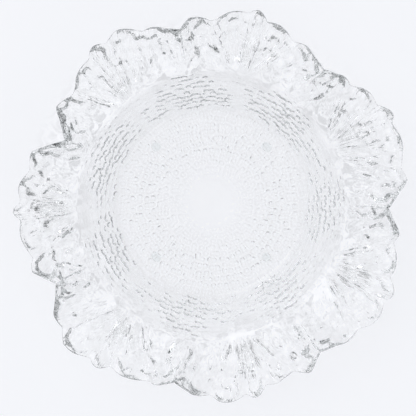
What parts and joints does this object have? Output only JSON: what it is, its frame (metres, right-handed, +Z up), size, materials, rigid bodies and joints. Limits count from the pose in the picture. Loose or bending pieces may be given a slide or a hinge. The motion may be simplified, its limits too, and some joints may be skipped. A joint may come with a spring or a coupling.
{
  "type": "chip and dip server",
  "caption": "Round chip and dip server of clear pressed glass: a deep dimpled well for dip inside a wide ruffled rim of shell fans for chips, on clear bumper pads.",
  "frame": {"origin": "the centre of the dish on the table, on the plane of the bumper pads' undersides", "axes": "+Z up out of the well; +X points between two of the rim's fans, along the fold between the last fan and the first"},
  "size_m": [0.3257, 0.3273, 0.0712],
  "materials": {
    "clear_glass": "clear colourless pressed glass, fire-polished, dimpled in the well and ribbed on the rim",
    "clear_pad": "clear soft polyurethane, slightly cloudy"
  },
  "bodies": {
    "root": {"glass_dish": "clear_glass", "bumper_pad_1": "clear_pad", "bumper_pad_2": "clear_pad", "bumper_pad_3": "clear_pad", "bumper_pad_4": "clear_pad"}
  },
  "joints": []
}
